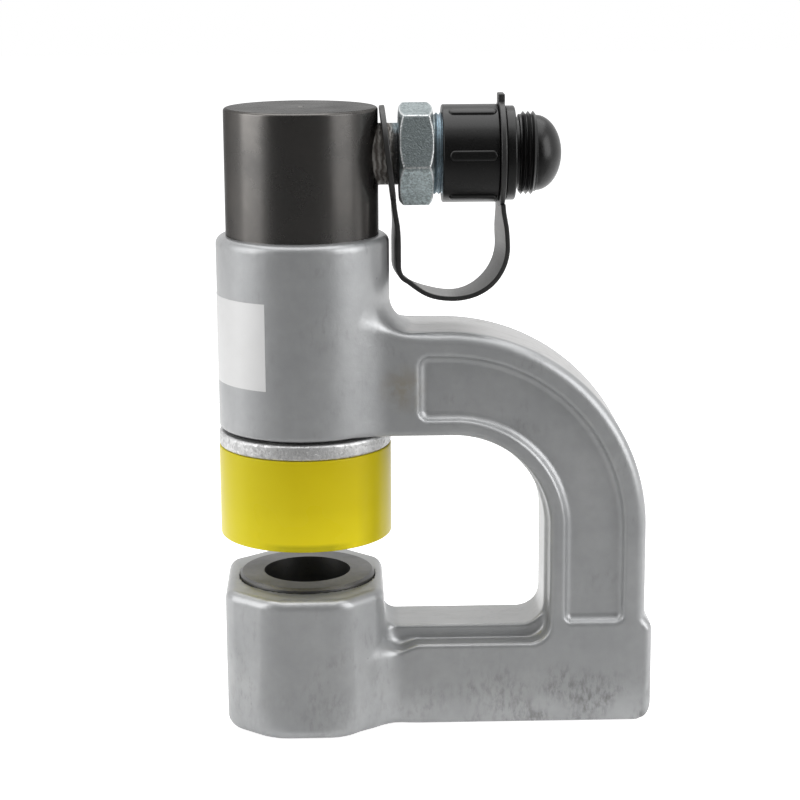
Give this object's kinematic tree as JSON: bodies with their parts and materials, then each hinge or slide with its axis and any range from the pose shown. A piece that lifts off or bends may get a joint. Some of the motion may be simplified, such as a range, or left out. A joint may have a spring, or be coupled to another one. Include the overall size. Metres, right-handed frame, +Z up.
{
  "type": "hydraulic hole punch",
  "caption": "Hydraulic hole punch: cast C-frame with a ram that drives a round punch into a die, a yellow stripper sleeve, and a side coupler under a strapped dust cap.",
  "frame": {"origin": "centre of the slug hole in the base, on the punch axis at the plane that the base stands on", "axes": "+Z up along the punch axis, +X from the punch axis towards the upright of the frame and the coupler, +Y to the back, where the die screw is"},
  "size_m": [0.1726, 0.0772, 0.2502],
  "materials": {
    "silver_paint": "metallic silver paint over a casting",
    "black_oxide": "black oxide, satin",
    "ground_rod": "ground and plated",
    "rough_zinc": "turned, zinc plated",
    "zinc_plate": "bright zinc plate",
    "tool_steel": "hardened and ground",
    "spring_steel": "oiled",
    "bronze": "machined",
    "yellow_urethane": "cast, glossy, slightly translucent",
    "black_rubber": "matt",
    "seal_plastic": "smooth",
    "black_plastic": "satin moulded",
    "strap_rubber": "matt moulded"
  },
  "bodies": {
    "frame": {"frame_casting": "silver_paint", "cylinder_cap": "black_oxide", "cap_seal": "black_rubber", "guide_bush": "bronze", "rod_wiper": "black_rubber", "return_spring": "spring_steel", "die": "tool_steel", "die_screw": "black_oxide", "port_nipple": "rough_zinc", "coupler_body": "zinc_plate", "coupler_seal": "black_rubber", "poppet_guide": "bronze", "coupler_spring": "spring_steel"},
    "ram": {"ram": "ground_rod", "piston_seal": "seal_plastic", "piston_backup_ring": "seal_plastic", "piston_guide_ring": "seal_plastic", "punch_nut": "rough_zinc", "punch": "tool_steel", "stripper": "yellow_urethane"},
    "poppet": {"coupler_poppet": "zinc_plate", "poppet_seal": "black_rubber"},
    "strap": {"dust_cap_strap": "strap_rubber"},
    "dust_cap": {"dust_cap": "black_plastic", "dust_cap_seal": "black_rubber"}
  },
  "joints": [
    {"name": "ram_stroke", "type": "slide", "parent": "frame", "child": "ram", "axis": [0, 0, -1], "range_m": [0, 0.025], "stiffness_N_per_m": 8000, "springref_m": -0.01, "deforming": ["return_spring", "stripper"]},
    {"name": "poppet_push", "type": "slide", "parent": "frame", "child": "poppet", "axis": [-1, 0, 0], "range_m": [0, 0.004], "stiffness_N_per_m": 1500, "springref_m": -0.003, "deforming": ["coupler_spring"]},
    {"name": "cap_travel", "type": "slide", "parent": "frame", "child": "strap", "axis": [1, 0, 0], "range_m": [0, 0.008], "deforming": ["dust_cap_strap"]},
    {"name": "cap_turn", "type": "hinge", "parent": "strap", "child": "dust_cap", "pos_m": [0.07, 0, 0.227], "axis": [1, 0, 0], "range_deg": [0, 1440]}
  ],
  "couplings": [
    {"joint": "cap_travel", "follows": "cap_turn", "m_per_rad": 0.00031831}
  ]
}
